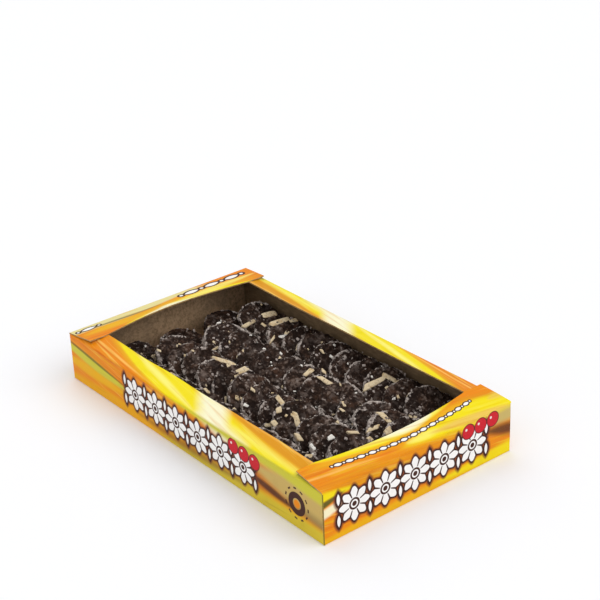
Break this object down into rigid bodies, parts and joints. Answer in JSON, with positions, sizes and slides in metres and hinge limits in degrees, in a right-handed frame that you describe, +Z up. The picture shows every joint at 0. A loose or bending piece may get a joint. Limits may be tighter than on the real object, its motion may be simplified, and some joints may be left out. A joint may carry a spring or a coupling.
{
  "type": "open carton of sliced chocolate biscuit salami",
  "caption": "Shallow printed display carton, open on top with folded-in rims, filled with rows of leaning round slices of dark chocolate and biscuit salami.",
  "frame": {"origin": "centre of the carton's floor, on the surface that it stands on", "axes": "+X along the carton's long side, from the far end to the near end in the picture; +Y across it, from the long wall at the front left in the picture to the other long wall; +Z up"},
  "size_m": [0.3912, 0.22, 0.0556],
  "materials": {
    "printed_board": "satin print outside in flowing fields of yellow, orange and cream with brown and red accents; bare brown-grey board inside",
    "chocolate_biscuit_slice": "food: dull, crumbly, nearly black chocolate dough with beige biscuit pieces, pale flecks and a whitish dusted rim"
  },
  "bodies": {
    "root": {"carton": "printed_board", "slice_back_01": "chocolate_biscuit_slice", "slice_back_02": "chocolate_biscuit_slice", "slice_back_03": "chocolate_biscuit_slice", "slice_row1_01": "chocolate_biscuit_slice", "slice_row1_02": "chocolate_biscuit_slice", "slice_row1_03": "chocolate_biscuit_slice", "slice_row1_04": "chocolate_biscuit_slice", "slice_row1_05": "chocolate_biscuit_slice", "slice_row1_06": "chocolate_biscuit_slice", "slice_row1_07": "chocolate_biscuit_slice", "slice_row1_08": "chocolate_biscuit_slice", "slice_row1_09": "chocolate_biscuit_slice", "slice_row1_10": "chocolate_biscuit_slice", "slice_row1_11": "chocolate_biscuit_slice", "slice_row1_12": "chocolate_biscuit_slice", "slice_row1_13": "chocolate_biscuit_slice", "slice_row1_14": "chocolate_biscuit_slice", "slice_row2_01": "chocolate_biscuit_slice", "slice_row2_02": "chocolate_biscuit_slice", "slice_row2_03": "chocolate_biscuit_slice", "slice_row2_04": "chocolate_biscuit_slice", "slice_row2_05": "chocolate_biscuit_slice", "slice_row2_06": "chocolate_biscuit_slice", "slice_row2_07": "chocolate_biscuit_slice", "slice_row2_08": "chocolate_biscuit_slice", "slice_row2_09": "chocolate_biscuit_slice", "slice_row2_10": "chocolate_biscuit_slice", "slice_row2_11": "chocolate_biscuit_slice", "slice_row2_12": "chocolate_biscuit_slice", "slice_row2_13": "chocolate_biscuit_slice", "slice_row3_01": "chocolate_biscuit_slice", "slice_row3_02": "chocolate_biscuit_slice", "slice_row3_03": "chocolate_biscuit_slice", "slice_row3_04": "chocolate_biscuit_slice", "slice_row3_05": "chocolate_biscuit_slice", "slice_row3_06": "chocolate_biscuit_slice", "slice_row3_07": "chocolate_biscuit_slice", "slice_row3_08": "chocolate_biscuit_slice", "slice_row3_09": "chocolate_biscuit_slice", "slice_row3_10": "chocolate_biscuit_slice", "slice_row3_11": "chocolate_biscuit_slice", "slice_row3_12": "chocolate_biscuit_slice", "slice_row3_13": "chocolate_biscuit_slice", "slice_row4_01": "chocolate_biscuit_slice", "slice_row4_02": "chocolate_biscuit_slice", "slice_row4_03": "chocolate_biscuit_slice", "slice_row4_04": "chocolate_biscuit_slice", "slice_row4_05": "chocolate_biscuit_slice", "slice_row4_06": "chocolate_biscuit_slice", "slice_row4_07": "chocolate_biscuit_slice", "slice_row4_08": "chocolate_biscuit_slice", "slice_row4_09": "chocolate_biscuit_slice", "slice_row4_10": "chocolate_biscuit_slice", "slice_row4_11": "chocolate_biscuit_slice", "slice_row4_12": "chocolate_biscuit_slice"}
  },
  "joints": []
}
